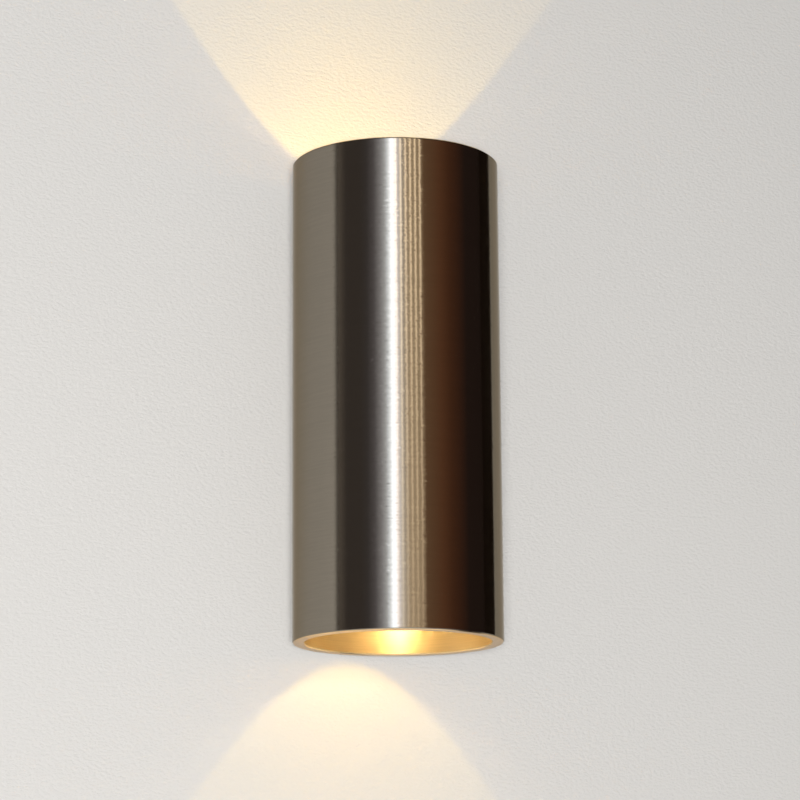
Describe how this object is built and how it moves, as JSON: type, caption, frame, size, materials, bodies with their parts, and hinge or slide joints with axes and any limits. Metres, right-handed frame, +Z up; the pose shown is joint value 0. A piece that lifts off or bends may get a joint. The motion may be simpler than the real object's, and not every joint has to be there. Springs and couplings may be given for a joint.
{
  "type": "tube wall light",
  "caption": "Round metal tube wall light, open at both ends, that shines up and down the wall from recessed twist-lock lamps on a hidden wall plate.",
  "frame": {"origin": "middle of the wall plate's back face, on the wall plane, at half height", "axes": "+Z up; +Y into the wall, so the tube stands off towards -Y; +X to the right as seen from the room"},
  "size_m": [0.077, 0.083, 0.18],
  "materials": {
    "tube_bronze": "turned satin, light bronze",
    "base_bronze": "fine satin coating, light bronze",
    "gasket_rubber": "closed-cell, matt",
    "bush_rubber": "smooth",
    "zinc_steel": "zinc plated",
    "screw_steel": "bright zinc plated",
    "grub_steel": "black oxide",
    "terminal_plastic": "moulded",
    "terminal_brass": "bare",
    "tinned_metal": "tinned",
    "holder_ceramic": "unglazed white",
    "lamp_white": "moulded, fine matt",
    "cap_plastic": "moulded",
    "pin_nickel": "nickel plated",
    "driver_board": "circuit board",
    "light_source": "light source on a metal board",
    "lens_clear": "clear moulded lens, lit",
    "wire_brown": "silicone insulation",
    "wire_blue": "silicone insulation",
    "wire_green": "silicone insulation, green with a yellow stripe"
  },
  "bodies": {
    "housing": {"housing_tube": "tube_bronze", "rear_base": "base_bronze", "wall_gasket": "gasket_rubber", "wall_plate": "zinc_steel", "cable_bush": "bush_rubber", "base_screws": "screw_steel", "base_nuts": "screw_steel", "grub_screws": "grub_steel", "terminal_block": "terminal_plastic", "terminal_tubes": "terminal_brass", "terminal_screws": "screw_steel", "lamp_bracket": "zinc_steel", "upper_holder_back": "holder_ceramic", "upper_holder_body": "holder_ceramic", "upper_holder_contacts": "terminal_brass", "lower_holder_back": "holder_ceramic", "lower_holder_body": "holder_ceramic", "lower_holder_contacts": "terminal_brass", "holder_screws": "screw_steel", "holder_nuts": "screw_steel", "earth_ring": "tinned_metal", "earth_screw": "terminal_brass", "earth_nut": "terminal_brass", "upper_live_wire": "wire_brown", "upper_neutral_wire": "wire_blue", "lower_live_wire": "wire_brown", "lower_neutral_wire": "wire_blue", "earth_wire": "wire_green"},
    "upper_lamp": {"upper_lamp_body": "lamp_white", "upper_lamp_cap": "cap_plastic", "upper_lamp_pins": "pin_nickel", "upper_lamp_driver": "driver_board", "upper_light_board": "light_source", "upper_lamp_lens": "lens_clear"},
    "lower_lamp": {"lower_lamp_body": "lamp_white", "lower_lamp_cap": "cap_plastic", "lower_lamp_pins": "pin_nickel", "lower_lamp_driver": "driver_board", "lower_light_board": "light_source", "lower_lamp_lens": "lens_clear"}
  },
  "joints": [
    {"name": "upper_lamp_twist", "type": "hinge", "parent": "housing", "child": "upper_lamp", "pos_m": [0, -0.0445, 0.01605], "axis": [0, 0, 1], "range_deg": [0, 30]},
    {"name": "lower_lamp_twist", "type": "hinge", "parent": "housing", "child": "lower_lamp", "pos_m": [0, -0.0445, -0.01605], "axis": [0, 0, -1], "range_deg": [0, 30]}
  ]
}
